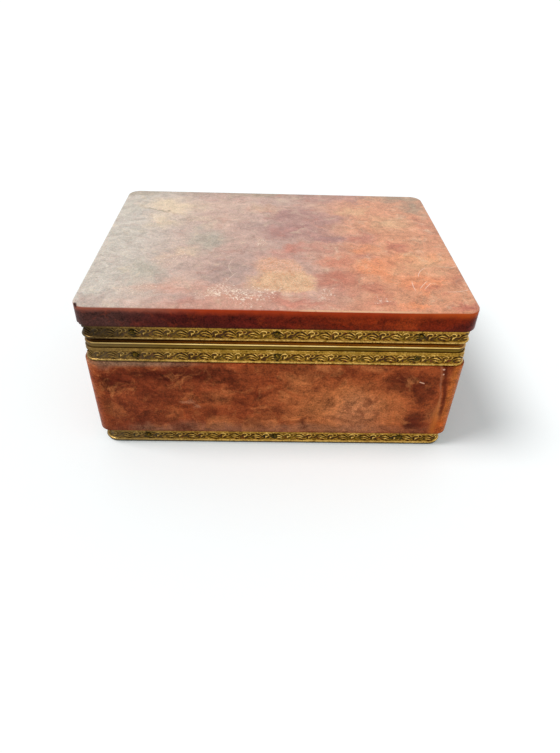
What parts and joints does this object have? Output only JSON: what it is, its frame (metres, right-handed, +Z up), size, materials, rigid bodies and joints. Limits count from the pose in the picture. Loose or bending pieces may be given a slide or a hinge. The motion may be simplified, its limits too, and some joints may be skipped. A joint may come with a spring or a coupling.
{
  "type": "jewelry box",
  "caption": "Rectangular keepsake box of polished red-brown onyx slabs with aged brass scroll bands and a hinged slab lid.",
  "frame": {"origin": "centre of the underside of the felt sheet the box stands on", "axes": "+X along the long side, to the right seen from the front; -Y is the front; +Z up"},
  "size_m": [0.16, 0.1265, 0.0733],
  "materials": {
    "lid_onyx": "polished",
    "body_onyx": "polished",
    "frame_brass": "aged",
    "scroll_brass": "stamped and aged",
    "pin_brass": "tarnished",
    "hinge_brass": "aged",
    "hinge_steel": "drawn",
    "felt": "felt",
    "velvet": "velvet"
  },
  "bodies": {
    "base": {"front_wall": "body_onyx", "back_wall": "body_onyx", "left_wall": "body_onyx", "right_wall": "body_onyx", "floor_slab": "body_onyx", "rim_frame": "frame_brass", "rim_inner_lip": "frame_brass", "foot_frame": "frame_brass", "body_scroll_band": "scroll_brass", "foot_scroll_band": "scroll_brass", "body_band_pins": "pin_brass", "foot_band_pins": "pin_brass", "base_hinge_leaf": "hinge_brass", "base_hinge_screws": "hinge_brass", "hinge_pin": "hinge_steel", "base_felt": "felt", "floor_lining": "velvet"},
    "lid": {"lid_slab": "lid_onyx", "lid_frame": "frame_brass", "lid_scroll_band": "scroll_brass", "lid_band_pins": "pin_brass", "lid_hinge_leaf": "hinge_brass", "lid_hinge_screws": "hinge_brass"}
  },
  "joints": [
    {"name": "lid_hinge", "type": "hinge", "parent": "base", "child": "lid", "pos_m": [0, 0.0613, 0.05655], "axis": [-1, 0, 0], "range_deg": [0, 100]}
  ]
}
